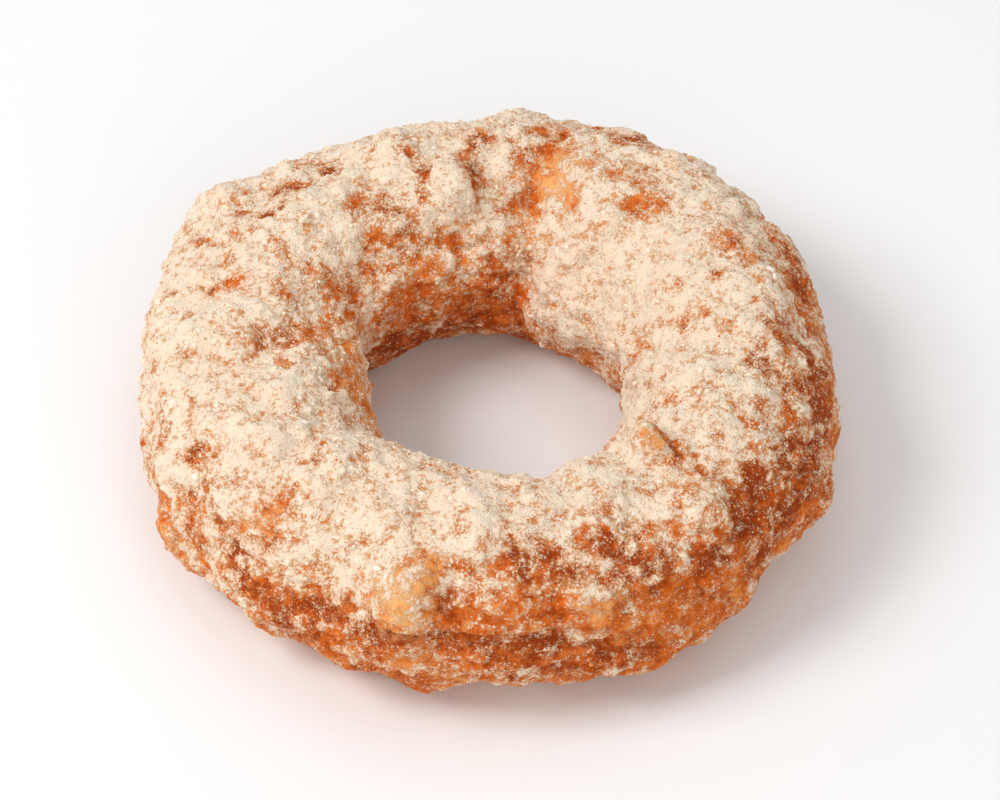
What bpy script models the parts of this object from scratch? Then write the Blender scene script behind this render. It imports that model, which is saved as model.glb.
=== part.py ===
"""A raised ring doughnut, fried and rolled in milk powder, as one solid.

Metres, +Z up. The origin is under the middle of the whole, on the surface that it
rests on. A place on the ring is given by two angles. The turn runs round the ring
from +X towards +Y. The lean runs round the tube: 0 is the outer side, 90 the top,
180 the wall of the hole and 270 the underside.
"""

import math
from dataclasses import dataclass

import bpy
from mathutils import Vector, noise

MM = 0.001

# Driving sizes
OUTER_DIAMETER = 92.1 * MM
TUBE_WIDTH = 28.6 * MM
TUBE_HEIGHT = 27.8 * MM
BASE_FLATTENING = 0.7 * MM  # how far the ring's own weight has pressed its underside flat
RING_AXIS = Vector((0.6 * MM, 0.0, 0.0))  # off the middle, as the left side bulges most

# Grid of the ring's faces
SEGMENTS_ROUND_RING = 120
SEGMENTS_ROUND_TUBE = 46

# Sizes worked out from them
HALF_WIDTH = TUBE_WIDTH / 2
HALF_HEIGHT = TUBE_HEIGHT / 2
RING_RADIUS = OUTER_DIAMETER / 2 - HALF_WIDTH
CENTRE_HEIGHT = HALF_HEIGHT - BASE_FLATTENING
MEAN_TUBE_RADIUS = (HALF_WIDTH + HALF_HEIGHT) / 2

# Looks of the crust under its powder
CRUST_COLOUR = (0.80, 0.60, 0.42, 1.0)
CRUST_ROUGHNESS = 0.85


@dataclass(frozen=True)
class Form:
    """A lump or a dent on the ring, in millimetres and degrees.

    length runs along the ring before slant turns it towards the lean. A high
    firmness gives a flat top and steep sides, and 2 gives a soft round swell.
    """

    turn: float
    lean: float
    length: float
    width: float
    rise: float
    slant: float = 0.0
    firmness: float = 2.0


# How far the hand-cut ring departs from a true one, all round and through the tube
SWELLS = (
    Form(146, 33, 15, 11, 3.0),  # back left shoulder
    Form(56, 40, 14, 10, 1.5),  # back right
    Form(5, 9, 13, 10, -1.9),  # flat right side
    Form(274, -40, 11, 8, -1.2),  # front, low down
    Form(306, -30, 8, 7, 1.3),
    Form(325, -18, 6, 8, -1.6),
    Form(186, 178, 8, 9, 2.2, firmness=4),  # left wall of the hole
    Form(318, 153, 9, 8, -2.7),  # right wall of the hole, near the front
    Form(288, 141, 5, 6, -0.9),
    Form(221, 152, 3, 7, -1.4),
    Form(42, 178, 8, 12, 1.7, firmness=4),  # lobe that leans into the hole
    Form(12, 190, 4.5, 8, -0.7),
    Form(80, 222, 6, 6, 1.2),
    Form(124, 216, 4, 6, 0.9),
    Form(155, 202, 4.5, 8, -1.8),
    Form(183, -2, 9, 8, -0.8),  # flat left side
    Form(70, 43, 8, 7, 0.5),
    Form(24, 108, 12, 8, 0.9),  # broad smooth back of the right side
    Form(236, -12, 14, 6, 0.7),  # lower edge at the front left
)

# Single lumps that stand out of the crust
LUMPS = (
    Form(145, 31, 3.4, 4.5, 2.2, firmness=3),  # corner of the back left shoulder
    Form(209, -17, 4, 5, 2.0, firmness=4),  # flap at the left
    Form(24, 22, 3.6, 5, 1.7, firmness=3),  # right shoulder
    Form(356, 33, 5, 4, 1.2),
    Form(340, -8, 3.6, 6, 1.5),
    Form(98.5, 109, 3.1, 3.1, 3.0, firmness=3),  # round lump at the back
    Form(112, 90, 3.4, 5.5, 2.2, firmness=3),
    Form(90, 86, 3.6, 4, 1.0),
    Form(127, 127, 4.6, 4, 1.3),
    Form(167, 115, 4.6, 5, 1.0),
    Form(220, 52, 3.4, 8.5, 1.4),  # ridge down the left side
    Form(255, 37, 4.8, 6.2, 2.6, firmness=3),  # pale front lump
    Form(289, 36, 4.0, 4.5, 0.9),
    Form(316, 104, 2.6, 2.8, 2.8, firmness=3),  # nub by the hole
    Form(331, 14, 3.2, 6, 1.0),
    Form(18, 72, 7, 2.6, 1.0, slant=-18),  # ridge along the right side
    Form(345, 74, 7, 2.6, 0.7, slant=12),
)

# Creases and dents between the lumps
CREASES = (
    Form(77, 84, 2.2, 8, -1.8, slant=4),  # fold down the back, left of the wide lobe
    Form(79, 122, 2.4, 8, -2.4),
    Form(75, 158, 2.2, 8, -2.2, slant=-8),
    Form(173, 121, 3.6, 2.6, -1.5, slant=-35),
    Form(181, 102, 3.8, 2.4, -1.5, slant=-20),
    Form(141, 64, 6.0, 2.8, -1.3, slant=28),
    Form(151, 45, 4.5, 2.4, -0.8, slant=24),
    Form(125, 70, 3.4, 3.0, -1.0),
    Form(209, 40, 2.8, 9, -1.1, slant=6),
    Form(238, 15, 13, 2.6, -1.5),  # groove round the front, under the pale lump
    Form(266, 14, 9, 2.4, -1.5),
    Form(284, 12, 8, 2.2, -0.8, slant=-6),
    Form(243, 52, 4.0, 5.0, -0.8),
    Form(301, 10, 8, 5, -0.7),
    Form(313, 6, 2.6, 2.8, -1.3),
    Form(320, 0, 2.8, 4.0, -0.9),
    Form(322, 99, 2.4, 6.5, -1.3),  # under the ledge by the hole
    Form(3, 119, 2.2, 5, -0.7, slant=10),
    Form(12, 52, 4.0, 3.5, -0.8),
    Form(347, 28, 2.2, 5, -1.0),
)

FORMS = SWELLS + LUMPS + CREASES


@dataclass(frozen=True)
class Unevenness:
    """One scale of the crust's own lumpiness.

    A billowy one has round lumps that meet in sharp creases.
    """

    wavelength: float
    height: float
    offset: Vector
    billowy: bool = False


BILLOW_MEAN = 0.22  # what the size of Blender's noise is on average
UNEVENNESS = (
    Unevenness(17 * MM, 0.7 * MM, Vector((3.1, 7.7, 1.9))),
    Unevenness(8.5 * MM, 1.9 * MM, Vector((11.3, 2.2, 5.4)), billowy=True),
    Unevenness(5 * MM, 0.7 * MM, Vector((6.6, 9.5, 14.8))),
)


def turn_between(from_degrees: float, to_degrees: float) -> float:
    """The shorter way between two angles, in radians."""
    return math.radians((to_degrees - from_degrees + 180) % 360 - 180)


def plain_point(turn: float, lean: float) -> Vector:
    """The point of the true ring at these angles, in degrees."""
    reach = RING_RADIUS + HALF_WIDTH * math.cos(math.radians(lean))
    height = CENTRE_HEIGHT + HALF_HEIGHT * math.sin(math.radians(lean))
    across = math.radians(turn)
    return Vector((reach * math.cos(across), reach * math.sin(across), height))


def plain_normal(turn: float, lean: float) -> Vector:
    """The outward direction of the true ring at these angles."""
    out = math.cos(math.radians(lean)) / HALF_WIDTH
    up = math.sin(math.radians(lean)) / HALF_HEIGHT
    across = math.radians(turn)
    return Vector((out * math.cos(across), out * math.sin(across), up)).normalized()


def form_rise(form: Form, turn: float, lean: float) -> float:
    """How far one form lifts the surface at these angles."""
    reach = RING_RADIUS + HALF_WIDTH * math.cos(math.radians(form.lean))
    along = turn_between(form.turn, turn) * reach
    across = turn_between(form.lean, lean) * MEAN_TUBE_RADIUS
    slant = math.radians(form.slant)
    lengthwise = along * math.cos(slant) + across * math.sin(slant)
    crosswise = across * math.cos(slant) - along * math.sin(slant)
    distance = math.hypot(lengthwise / (form.length * MM), crosswise / (form.width * MM))
    return form.rise * MM * math.exp(-(distance**form.firmness))


def unevenness_at(point: Vector) -> float:
    """The crust's own lumpiness at a point of the true ring."""
    rise = 0.0
    for scale in UNEVENNESS:
        level = noise.noise(point / scale.wavelength + scale.offset)
        if scale.billowy:
            level = abs(level) - BILLOW_MEAN
        rise += scale.height * level
    return rise


def shaped_point(turn: float, lean: float) -> Vector:
    """The doughnut's surface at these angles, pressed flat where it rests."""
    point = plain_point(turn, lean)
    rise = sum(form_rise(form, turn, lean) for form in FORMS) + unevenness_at(point)
    shaped = point + plain_normal(turn, lean) * rise
    shaped.z = max(shaped.z, 0.0)
    return shaped


def angles_of(point: Vector) -> tuple[float, float]:
    """The turn and lean of a vertex of the round torus that the shape starts from."""
    turn = math.atan2(point.y, point.x)
    lean = math.atan2(point.z, math.hypot(point.x, point.y) - RING_RADIUS)
    return math.degrees(turn), math.degrees(lean)


def crust_material() -> bpy.types.Material:
    """Fried crust under milk powder."""
    material = bpy.data.materials.new("powdered_crust")
    material.use_nodes = True
    shader = material.node_tree.nodes["Principled BSDF"]
    shader.inputs["Base Color"].default_value = CRUST_COLOUR
    shader.inputs["Roughness"].default_value = CRUST_ROUGHNESS
    shader.inputs["Metallic"].default_value = 0.0
    material.diffuse_color = CRUST_COLOUR
    return material


def make_doughnut(collection: bpy.types.Collection) -> bpy.types.Object:
    """A torus primitive whose vertices are moved onto the doughnut's surface."""
    bpy.ops.mesh.primitive_torus_add(
        major_segments=SEGMENTS_ROUND_RING,
        minor_segments=SEGMENTS_ROUND_TUBE,
        major_radius=RING_RADIUS,
        minor_radius=MEAN_TUBE_RADIUS,
    )
    doughnut = bpy.context.object
    doughnut.name = "doughnut"
    for vertex in doughnut.data.vertices:
        vertex.co = RING_AXIS + shaped_point(*angles_of(vertex.co))
    doughnut.data.shade_smooth()
    doughnut.data.materials.append(crust_material())
    for holder in list(doughnut.users_collection):
        holder.objects.unlink(doughnut)
    collection.objects.link(doughnut)
    return doughnut


def main() -> None:
    """Clears the scene and builds the doughnut in its own collection."""
    for leftover in list(bpy.data.objects):
        bpy.data.objects.remove(leftover)
    collection = bpy.data.collections.new("milk_doughnut")
    bpy.context.scene.collection.children.link(collection)
    make_doughnut(collection)


main()
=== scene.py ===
"""A milk doughnut: a raised ring, fried brown, under a thick grainy coat of milk powder.

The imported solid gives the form. A fine skin takes its place, with the crust's relief
and its patchy coat, and loose powder, clumps, sugar and crumbs lie on that skin.

Metres, +Z up. A place on the ring has a turn, the angle round the ring from +X towards
+Y, and a lean, the angle round the tube: 0 is the outer side, 90 the top, 180 the wall
of the hole and 270 the underside. Both are in degrees.
"""

import logging
import math
from dataclasses import dataclass, field
from enum import Enum

import bpy
import numpy as np
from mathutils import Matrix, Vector, noise

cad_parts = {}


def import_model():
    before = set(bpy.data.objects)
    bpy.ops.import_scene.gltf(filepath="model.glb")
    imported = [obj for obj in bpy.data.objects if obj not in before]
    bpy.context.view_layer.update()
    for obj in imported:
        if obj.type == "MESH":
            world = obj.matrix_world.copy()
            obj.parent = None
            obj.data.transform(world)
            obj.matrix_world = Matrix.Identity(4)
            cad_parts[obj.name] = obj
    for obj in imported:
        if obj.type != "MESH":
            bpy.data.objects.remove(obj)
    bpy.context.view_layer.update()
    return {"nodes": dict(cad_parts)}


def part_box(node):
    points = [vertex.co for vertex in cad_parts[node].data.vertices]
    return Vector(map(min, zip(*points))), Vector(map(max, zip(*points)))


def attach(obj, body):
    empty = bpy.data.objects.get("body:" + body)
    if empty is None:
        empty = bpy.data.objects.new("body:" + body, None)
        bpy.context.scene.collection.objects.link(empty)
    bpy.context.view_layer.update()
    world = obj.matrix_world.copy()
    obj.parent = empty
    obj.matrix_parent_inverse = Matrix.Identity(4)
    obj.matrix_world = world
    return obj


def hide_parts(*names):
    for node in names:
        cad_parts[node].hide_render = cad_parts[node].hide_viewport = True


LOG = logging.getLogger("milk_doughnut")
MM = 0.001

NODE = "doughnut"
BODY = "root"

# The plain ring that the lumps depart from
TUBE_HALF_WIDTH = 14.3 * MM
TUBE_HALF_HEIGHT = 13.9 * MM
BASE_FLATTENING = 0.7 * MM
AXIS_X = 0.6 * MM

# Names of the skin's own values, which its material reads
COVER = "powder_cover"
BROWNING = "browning"
PALENESS = "paleness"
TINT = "tint"

# Blender's noise: how far apart seeds read it, what brings it to about -1 to 1, and
# about how large it then is on average, whatever its sign
SEED_SHIFT = (17.3, 5.9, 11.7)
PLAIN_GAIN = 1.6
LAYERED_GAIN = 1.3
MEAN_SIZE = 0.3

# Where loose bits may lie, and how far each is squeezed or drawn out
COVER_EDGE = 0.12
BARE_BELOW = 0.9 * MM
THICK_ABOVE = 2.5 * MM
UNDERSIDE_SHARE = 0.25
UNDERSIDE_FADE = (-0.9, 0.1)
LOWEST_BIT = 0.02 * MM
STRETCH = (0.75, 1.25)


class Lumpiness(Enum):
    """How a scale of relief is shaped."""

    SOFT = "rolling"
    BILLOWY = "round lumps with creases between them"
    FLAKY = "long flakes that run round the ring"


class Kernel(Enum):
    """The shapes that loose bits start from."""

    CHIP = "eight faces"
    NUB = "twenty faces"
    CLUMP = "eighty faces"
    CRYSTAL = "a cube with its edges worn off"


def steps(values: np.ndarray, low: float, high: float) -> np.ndarray:
    """A smooth rise from 0 at low to 1 at high.

    Args:
        values: The numbers to map.
        low: Where the rise starts.
        high: Where it ends.

    Returns:
        An array of the same shape, from 0 to 1.
    """
    share = np.clip((values - low) / (high - low), 0.0, 1.0)
    return share * share * (3.0 - 2.0 * share)


def turn_between(start: float, end: np.ndarray) -> np.ndarray:
    """The shorter way from one angle to others, in radians."""
    return np.radians((end - start + 180.0) % 360.0 - 180.0)


def noise_at(places: np.ndarray, wavelength: float, seed: int, octaves: int = 1) -> np.ndarray:
    """Smooth seeded noise, about -1 to 1, at each place.

    Args:
        places: Points, one a row.
        wavelength: The size of its swells, in the points' own unit.
        seed: Which noise. Each seed reads another part of the same field.
        octaves: How many finer layers are added.

    Returns:
        One number a point.
    """
    shift = np.array(SEED_SHIFT) * seed
    rows = (places / wavelength + shift).tolist()
    if octaves == 1:
        return np.array([noise.noise(row) for row in rows]) * PLAIN_GAIN
    return np.array([noise.fractal(row, 1.0, 2.0, octaves) for row in rows]) * LAYERED_GAIN


def pick(piece: bpy.types.Object) -> None:
    """Selects one object alone and makes it the active one.

    Args:
        piece: The object.
    """
    bpy.ops.object.select_all(action="DESELECT")
    piece.select_set(True)
    bpy.context.view_layer.objects.active = piece


def read_vectors(items: bpy.types.bpy_prop_collection, name: str) -> np.ndarray:
    """Reads a vector property of all the items.

    Args:
        items: Vertices, faces or the like.
        name: The property.

    Returns:
        The vectors, one a row.
    """
    values = np.empty(len(items) * 3, np.float32)
    items.foreach_get(name, values)
    return values.reshape(-1, 3).astype(np.float64)


def write_values(mesh: bpy.types.Mesh, name: str, values: np.ndarray) -> None:
    """Stores one number a point under a name that materials can read."""
    layer = mesh.attributes.new(name, "FLOAT", "POINT")
    layer.data.foreach_set("value", values.astype(np.float32))


def random_turns(draw: np.random.Generator, count: int) -> np.ndarray:
    """Rotation matrices that point every way alike.

    Args:
        draw: The seeded source of random numbers.
        count: How many.

    Returns:
        An array of count matrices.
    """
    w, x, y, z = draw.normal(size=(4, count))
    long = np.sqrt(w * w + x * x + y * y + z * z)
    w, x, y, z = w / long, x / long, y / long, z / long
    rows = (
        (1 - 2 * (y * y + z * z), 2 * (x * y - z * w), 2 * (x * z + y * w)),
        (2 * (x * y + z * w), 1 - 2 * (x * x + z * z), 2 * (y * z - x * w)),
        (2 * (x * z - y * w), 2 * (y * z + x * w), 1 - 2 * (x * x + y * y)),
    )
    return np.array(rows).transpose(2, 0, 1)


@dataclass(frozen=True)
class Ring:
    """The plain ring that places on the doughnut are measured on."""

    radius: float
    centre_height: float
    axis_x: float = AXIS_X
    half_width: float = TUBE_HALF_WIDTH
    half_height: float = TUBE_HALF_HEIGHT

    @classmethod
    def inside_box(cls, low: Vector, high: Vector) -> "Ring":
        """The ring of the doughnut in this box."""
        across = (high.x - low.x + high.y - low.y) / 2
        return cls(across / 2 - TUBE_HALF_WIDTH, TUBE_HALF_HEIGHT - BASE_FLATTENING)

    def angles(self, points: np.ndarray) -> tuple[np.ndarray, np.ndarray]:
        """Where each point lies on the ring.

        Args:
            points: The points, in metres, one a row.

        Returns:
            The turn and the lean of each, in degrees.
        """
        x = points[:, 0] - self.axis_x
        out = (np.hypot(x, points[:, 1]) - self.radius) / self.half_width
        up = (points[:, 2] - self.centre_height) / self.half_height
        turn = np.degrees(np.arctan2(points[:, 1], x)) % 360.0
        return turn, np.degrees(np.arctan2(up, out)) % 360.0

    def arc_between(
        self, turn: float, lean: float, turns: np.ndarray, leans: np.ndarray
    ) -> tuple[np.ndarray, np.ndarray]:
        """How far places lie from one place, along the ring and across it, in metres."""
        reach = self.radius + self.half_width * math.cos(math.radians(lean))
        return turn_between(turn, turns) * reach, turn_between(lean, leans) * self.half_height


@dataclass(frozen=True)
class Patch:
    """A place where the coat, the crust or the relief departs from the rest.

    length runs round the ring, in millimetres, before slant turns it towards the lean.
    coat, brown and pale are added to the powder's cover, the browning and the paleness
    there, and rise lifts the skin, in millimetres. Some patches use them to paint shade
    or light, and say so where they stand.
    """

    turn: float
    lean: float
    length: float
    width: float
    coat: float = 0.0
    brown: float = 0.0
    pale: float = 0.0
    rise: float = 0.0
    slant: float = 0.0
    firmness: float = 2.0

    def share(self, ring: Ring, turns: np.ndarray, leans: np.ndarray) -> np.ndarray:
        """How strongly the patch holds at each place.

        Args:
            ring: The ring that it lies on.
            turns: The places' turns, in degrees.
            leans: Their leans, in degrees.

        Returns:
            A number from 0 to 1 for each place.
        """
        along, across = ring.arc_between(self.turn, self.lean, turns, leans)
        slant = math.radians(self.slant)
        lengthwise = (along * math.cos(slant) + across * math.sin(slant)) / (self.length * MM)
        crosswise = (across * math.cos(slant) - along * math.sin(slant)) / (self.width * MM)
        return np.exp(-(np.hypot(lengthwise, crosswise) ** self.firmness))


# Wide stretches of the ring
STRETCHES = (
    Patch(182, 15, 22, 7, coat=0.11),
    Patch(30, 110, 18, 14, coat=0.10, brown=-0.2),
    Patch(270, 98, 30, 7, coat=0.12),
    Patch(225, 85, 18, 9, coat=0.04),
    Patch(85, 137, 12, 6, coat=0.20, brown=-0.15),
    Patch(112, 135, 8, 5, coat=0.18, brown=-0.1),
    Patch(140, 123, 6, 4, coat=0.22),
    Patch(128, 165, 14, 8, coat=-0.02),
    Patch(106, 200, 16, 6, coat=-0.42, brown=0.42),
    # Partly painted light: the white powder on the back right wall of the hole is real, and laid
    # thicker so that the wall reads lighter where it lies in shade
    Patch(40, 150, 10, 7, coat=0.24, brown=-0.2),
    Patch(61, 170, 3.8, 7, coat=0.45, brown=-0.2, firmness=5),
    Patch(30, 185, 9, 6, coat=0.30, brown=-0.1),
    Patch(300, 5, 34, 8, coat=-0.12, brown=0.08),
    # Painted light: the left wall of the hole is drawn paler and more golden, with more powder,
    # against the key lamp's shade there
    Patch(190, 165, 9, 8, coat=0.10, brown=-0.35, pale=0.12),
    # Partly painted shade: the right outer side is drawn a little browner, also for the shade it
    # lies in
    Patch(350, 34, 22, 9, coat=0.02, brown=0.06),
)

# Back left, from the left side round to the very back
BACK_LEFT = (
    Patch(140, 72, 3.0, 2.0, coat=-0.66, brown=0.48),
    Patch(144.5, 77, 1.5, 1.2, coat=-0.49, brown=0.40),
    Patch(147.5, 62, 2.0, 1.0, coat=-0.41, brown=0.32),
    Patch(153.5, 53, 3.2, 1.8, coat=-0.34, brown=0.28),
    Patch(127, 72, 2.2, 2.4, coat=-0.51, brown=0.32),
    Patch(151.5, 93, 1.5, 1.5, coat=-0.33, brown=0.08),
    Patch(130, 124, 2.4, 2.6, coat=-0.41, pale=0.20),
    Patch(121.5, 118, 2.0, 3.4, coat=-0.34, brown=0.24),
    Patch(111, 82, 2.6, 2.4, coat=-0.18, brown=0.12, rise=0.5),
    Patch(107.3, 78, 0.9, 1.6, coat=-0.30, brown=0.22, rise=-0.3),
    Patch(108, 98, 1.3, 2.8, coat=-0.52, brown=0.28, rise=-0.4),
    Patch(111.5, 111, 1.4, 2.2, coat=-0.42, brown=0.26, rise=-0.2),
    Patch(102.5, 106, 2.4, 3.2, coat=0.30, rise=1.3),
    Patch(98, 103, 1.1, 2.0, coat=-0.45, brown=-0.1, pale=0.3),
    # Partly painted shade: the bare dark crust on the big lump's right side also stands for the
    # lump's shade there; the dent is real relief
    Patch(94.2, 109, 1.5, 3.2, coat=-0.85, brown=0.42, rise=-0.7),
    Patch(98, 119, 2.6, 1.5, coat=-0.49, brown=0.24),
    Patch(95.5, 90, 1.1, 1.8, coat=-0.45, brown=0.25),
    Patch(89, 82, 2.2, 1.3, coat=-0.55, brown=0.38),
    Patch(93.5, 79, 1.6, 1.2, coat=-0.41, brown=0.32),
    Patch(102, 142, 1.6, 4.0, coat=-0.22, brown=0.12),
    Patch(120, 128, 2.2, 3.2, coat=-0.28, brown=0.20),
    Patch(154, 121, 2.8, 2.0, coat=-0.27, brown=0.28),
    Patch(167, 103, 1.4, 4.5, coat=-0.28, brown=0.24),
    Patch(168.5, 61, 0.9, 1.7, coat=-0.49, brown=0.56),
    Patch(166, 80, 1.5, 1.9, coat=-0.30, pale=0.20),
    Patch(181.5, 104, 2.6, 3.4, coat=-0.51, brown=0.36, rise=-0.5),
    Patch(183.5, 94, 1.8, 1.3, coat=-0.41, pale=0.20),
    Patch(176, 122, 2.2, 3.6, coat=-0.34, brown=0.28),
    Patch(172, 112, 1.8, 2.6, coat=0.15, rise=0.7),
    # Painted shade: a little less powder and browner crust on the top of the left side, where the
    # coat lies in shade
    Patch(191, 118, 4.0, 4.6, coat=-0.11, brown=0.08),
    Patch(172, 25, 4.0, 2.0, coat=-0.18),
    Patch(199, 140, 2.0, 2.4, coat=-0.24, brown=0.20),
    Patch(96, 180, 3.2, 2.6, coat=0.10, brown=-0.2, pale=0.3),
)

# Back right and right, from the very back round to the right side
BACK_RIGHT = (
    Patch(75.5, 70, 1.7, 1.7, coat=-0.61, brown=0.40),
    Patch(78.5, 80, 1.7, 2.1, coat=-0.66, brown=0.32),
    Patch(81, 90, 1.1, 2.2, coat=-0.45, brown=0.16),
    Patch(66, 52, 7.0, 3.2, coat=-0.42, brown=0.30),
    Patch(70, 97, 3.8, 4.8, coat=-0.45, brown=-0.3, pale=0.80),
    Patch(78, 104, 2.0, 4.2, coat=-0.34, pale=0.15),
    Patch(80, 120, 1.9, 3.4, coat=-0.82, brown=0.16, rise=-0.4),
    Patch(69, 134, 1.2, 1.8, coat=-0.37, pale=0.2),
    Patch(64, 140, 4.0, 4.0, coat=-0.23, brown=-0.2, pale=0.4),
    Patch(61, 150, 1.4, 1.6, coat=-0.37, brown=-0.1, pale=0.3),
    Patch(80, 163, 2.8, 3.6, coat=-0.22, brown=0.20),
    Patch(74.5, 150, 1.3, 2.0, coat=-0.38, brown=0.34),
    Patch(88, 160, 2.0, 2.2, coat=-0.28, brown=0.24),
    Patch(66, 168, 1.6, 5.0, coat=0.25, rise=0.8),
    Patch(53, 83, 2.8, 2.6, coat=-0.41, brown=0.40),
    Patch(48.5, 104, 1.9, 1.7, coat=-0.51, brown=0.24),
    Patch(44.5, 94, 2.3, 1.6, coat=-0.43, brown=0.08),
    Patch(50, 116, 2.6, 1.3, coat=-0.34, brown=0.24),
    Patch(47, 94, 5.0, 5.0, coat=-0.13),
    Patch(26.5, 73, 2.4, 2.5, coat=-0.39, brown=0.22),
    Patch(22, 82, 2.1, 1.9, coat=-0.41, brown=0.26),
    Patch(18, 38, 6.0, 4.0, coat=-0.28, brown=0.30),
    Patch(13.5, 70, 1.9, 2.0, coat=-0.30, brown=0.24),
    Patch(16, 90, 1.2, 1.5, coat=-0.34, brown=0.24),
    Patch(5, 105, 0.9, 1.9, coat=-0.41, brown=0.12),
    Patch(0, 60, 4.5, 4.0, coat=-0.28, brown=0.30),
    Patch(352, 79, 3.4, 2.5, coat=-0.36, brown=0.32),
    Patch(348, 65, 2.2, 2.2, coat=-0.28, brown=0.34),
    Patch(354.5, 39, 2.8, 2.4, coat=-0.36, brown=0.36),
    Patch(351, 95, 1.2, 1.9, coat=-0.33, brown=0.16),
    Patch(337.5, 122, 0.8, 0.8, coat=-0.49),
    Patch(17, 152, 3.0, 3.0, coat=-0.28),
    Patch(2, 146, 2.2, 2.4, coat=-0.33, brown=0.16),
    Patch(342, 42, 7.0, 3.6, coat=-0.18, brown=0.30),
    Patch(346, 24, 4.0, 3.0, coat=-0.28, brown=0.38),
)

# Front left
FRONT_LEFT = (
    Patch(194.5, 29, 1.7, 1.5, coat=-0.45, brown=0.36),
    Patch(195, 45, 1.1, 2.5, coat=-0.34, brown=0.28),
    Patch(205, 44, 2.7, 2.7, coat=-0.39, brown=0.24),
    Patch(214, 49, 2.7, 1.9, coat=-0.38, brown=0.16),
    Patch(211.5, 31, 2.3, 1.5, coat=-0.34, brown=0.16),
    Patch(218, 30, 2.0, 1.8, coat=-0.34, brown=0.20),
    Patch(226, 47, 3.2, 3.7, coat=-0.41, brown=-0.1, pale=0.40),
    Patch(217.5, 69, 1.3, 1.5, coat=-0.30, pale=0.3),
    Patch(226.5, 86, 1.3, 1.6, coat=-0.74, brown=0.28, rise=-0.4),
    Patch(224.5, 20, 2.2, 2.2, coat=-0.32, brown=0.40),
    Patch(228.5, 8, 3.2, 1.9, coat=-0.30, brown=0.38),
    Patch(235, 2, 4.0, 2.6, coat=-0.22, brown=0.26),
    Patch(240, 14, 3.5, 1.7, coat=-0.28, brown=0.28),
    Patch(244, 6, 4.5, 2.6, coat=-0.25, brown=0.12),
    Patch(250, 12, 3.6, 1.8, coat=-0.33, brown=0.32),
    Patch(241, 24, 5.0, 3.4, coat=0.14, brown=-0.1),
    Patch(239, 41, 5.0, 3.0, coat=0.14),
    Patch(211, 8, 3.6, 2.6, coat=-0.20, brown=0.12),
    Patch(209, -6, 2.6, 2.6, coat=-0.12, pale=0.40),
    Patch(226, -9, 6.0, 2.2, coat=0.28),
    Patch(238, -11, 4.0, 2.0, coat=-0.12, brown=0.36),
    Patch(250, -24, 9.0, 3.4, coat=-0.40, brown=0.12),
    Patch(255, 38, 4.4, 4.4, coat=-0.12, brown=-0.35, pale=0.85, rise=0.6),
    Patch(256, 17, 5.5, 0.9, coat=-0.45, brown=0.60, rise=-0.7),
    Patch(262.3, 35, 2.2, 3.2, coat=-0.53, brown=0.32, rise=-0.3),
    Patch(260, 57, 2.0, 2.6, coat=-0.34, pale=0.35),
    Patch(267.5, 47, 1.8, 3.0, coat=0.12, rise=0.4),
    Patch(267.5, 14, 4.5, 1.5, coat=-0.33, brown=0.44, rise=-0.3),
    Patch(261, -8, 10, 3.8, coat=0.06),
)

# Front right
FRONT_RIGHT = (
    Patch(275, 73, 1.6, 3.2, coat=-0.39, brown=0.24),
    Patch(275.5, 58, 2.4, 2.6, coat=-0.45, brown=0.28),
    Patch(272.5, 42, 2.7, 3.3, coat=-0.51, brown=0.08),
    Patch(281.5, 59, 3.6, 2.3, coat=-0.41, brown=0.36),
    Patch(291.5, 54, 4.6, 2.7, coat=-0.36, brown=0.44),
    Patch(291, 64, 2.4, 1.8, coat=-0.28, brown=0.28),
    Patch(287.5, 36, 1.9, 1.3, coat=0.75, rise=0.5),
    Patch(288.5, 28, 3.2, 1.4, coat=-0.31, brown=-0.25, pale=0.40),
    Patch(280, 31, 4.6, 1.7, coat=-0.37, brown=0.08),
    Patch(278, 10, 3.4, 2.7, coat=-0.26, brown=0.40),
    Patch(281, -14, 5.0, 2.3, coat=-0.16, brown=0.32),
    Patch(294, -12, 4.0, 2.2, coat=-0.20, brown=0.36),
    Patch(299, 40, 6.0, 2.6, coat=-0.08, brown=0.28),
    Patch(299.5, 6, 6.5, 3.8, coat=-0.37, brown=-0.05, pale=0.14),
    Patch(310, 27.5, 1.8, 1.7, coat=-0.66, brown=0.80, rise=-0.5),
    Patch(313.5, 5, 2.4, 2.6, coat=-0.37, pale=0.10),
    Patch(317, 40, 3.2, 2.6, coat=-0.28, brown=0.30),
    Patch(326, 45, 3.6, 3.2, coat=-0.26, brown=0.42),
    Patch(321.5, 33, 3.6, 3.0, coat=-0.26, brown=0.34),
    Patch(321, 0, 3.4, 3.2, coat=-0.16, brown=0.32),
    Patch(333, 16, 5.5, 4.5, coat=-0.36, brown=0.22),
    Patch(332, -3, 6.0, 4.0, coat=-0.25, brown=0.15),
    Patch(319.5, 72, 2.4, 1.1, coat=-0.51, brown=0.24),
    Patch(325.5, 80, 2.2, 1.1, coat=-0.34, brown=0.24),
    Patch(324, 96, 1.8, 1.3, coat=-0.34, brown=0.20),
    Patch(315.4, 98, 1.8, 3.0, coat=-0.85, brown=-0.25, pale=0.50, rise=1.4),
    # Painted shadow: the dark brown strip on the right of the nub stands for the shadow that the
    # nub casts; the dent is real relief
    Patch(318.9, 94, 0.8, 2.6, coat=-0.85, brown=0.40, rise=-0.8),
    Patch(321.3, 87, 1.1, 1.1, coat=0.30, rise=0.9),
)

PATCHES = STRETCHES + BACK_LEFT + BACK_RIGHT + FRONT_LEFT + FRONT_RIGHT


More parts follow.
